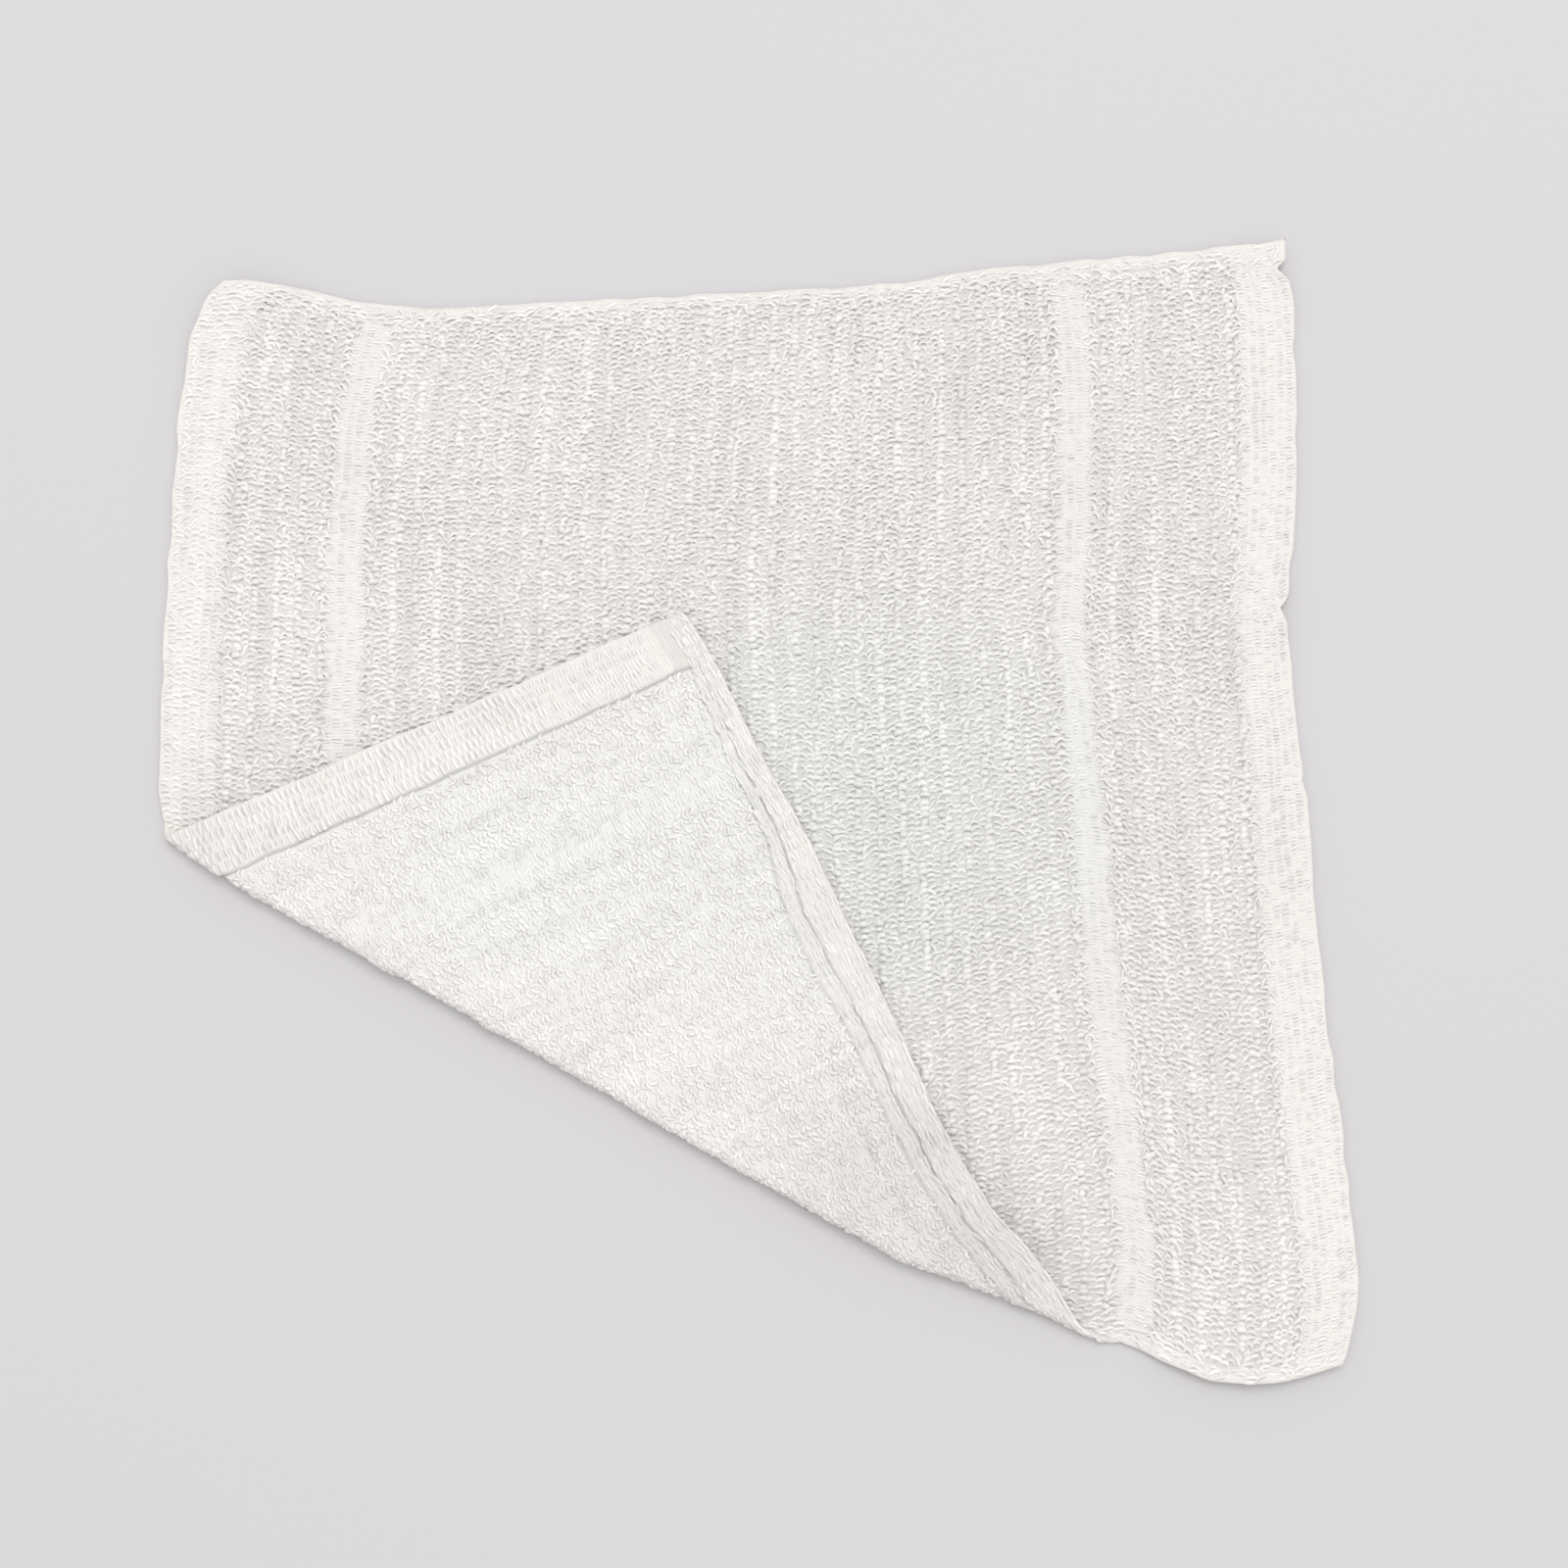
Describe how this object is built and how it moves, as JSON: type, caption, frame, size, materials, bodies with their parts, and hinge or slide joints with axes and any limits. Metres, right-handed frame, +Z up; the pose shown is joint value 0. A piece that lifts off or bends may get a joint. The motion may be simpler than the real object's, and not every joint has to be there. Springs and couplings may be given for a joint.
{
  "type": "washcloth with one corner folded over",
  "caption": "Thin white terry washcloth lying flat, one corner folded over to the middle, with hemmed ends, woven selvedges and plain bands.",
  "frame": {"origin": "on the surface that the cloth lies on, under the middle of its box", "axes": "+X to the right along the straight selvedge, +Y away from the fold's open side, +Z up"},
  "size_m": [0.3258, 0.3196, 0.0078],
  "materials": {
    "terry_cotton": "undyed bleached cotton terry, matt and slightly fuzzy"
  },
  "bodies": {
    "root": {"washcloth": "terry_cotton"}
  },
  "joints": []
}
